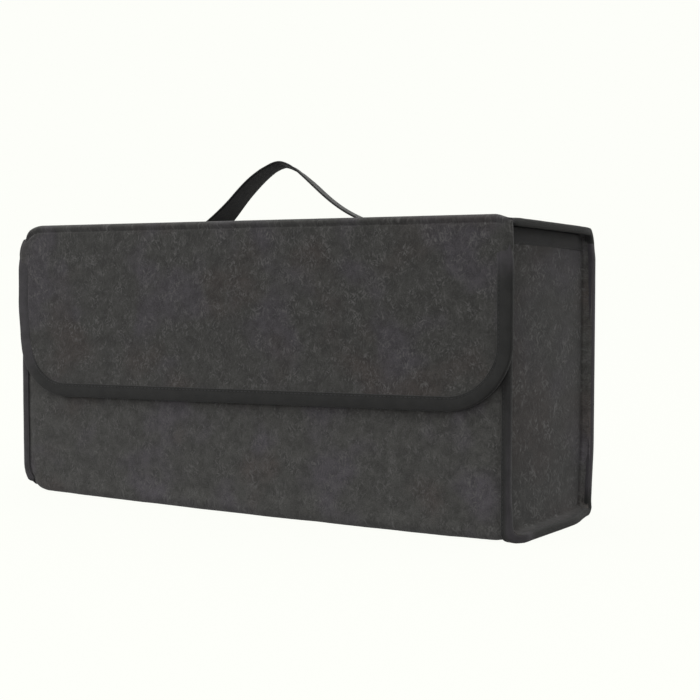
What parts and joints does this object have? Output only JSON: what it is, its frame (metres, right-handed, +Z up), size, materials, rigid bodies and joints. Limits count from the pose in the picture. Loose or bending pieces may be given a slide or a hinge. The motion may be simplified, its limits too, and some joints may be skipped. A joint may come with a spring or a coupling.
{
  "type": "car trunk organizer",
  "caption": "Long felt storage box with bound end seams, a hinged lid with a carrying strap, and a rounded front flap that closes over the front wall.",
  "frame": {"origin": "under the middle of the closed box, in the plane that it stands on", "axes": "+X along the length, towards the end that the picture shows; -Y out of the front, where the flap hangs; +Z up"},
  "size_m": [0.5, 0.165, 0.2988],
  "materials": {
    "felt": "matte needle felt, dark grey with short pale fibres",
    "binding_tape": "matte black folded binding tape, stitched along its inner edge",
    "webbing": "black woven webbing with a slight sheen",
    "hook_and_loop": "black hook and loop tape"
  },
  "bodies": {
    "box": {"wrap_panel": "felt", "front_hem": "binding_tape", "left_end_panel": "felt", "left_end_binding": "binding_tape", "left_end_hem": "binding_tape", "left_loop_patch": "hook_and_loop", "left_base_grip": "hook_and_loop", "right_end_panel": "felt", "right_end_binding": "binding_tape", "right_end_hem": "binding_tape", "right_loop_patch": "hook_and_loop", "right_base_grip": "hook_and_loop"},
    "lid": {"lid_panel": "felt", "left_lid_binding": "binding_tape", "right_lid_binding": "binding_tape", "handle_strap": "webbing"},
    "flap": {"flap_panel": "felt", "flap_binding": "binding_tape", "left_hook_patch": "hook_and_loop", "right_hook_patch": "hook_and_loop"}
  },
  "joints": [
    {"name": "lid_hinge", "type": "hinge", "parent": "box", "child": "lid", "pos_m": [0, 0.07965, 0.23565], "axis": [-1, 0, 0], "range_deg": [0, 175]},
    {"name": "flap_hinge", "type": "hinge", "parent": "lid", "child": "flap", "pos_m": [0, -0.07965, 0.24215], "axis": [-1, 0, 0], "range_deg": [0, 175]}
  ]
}
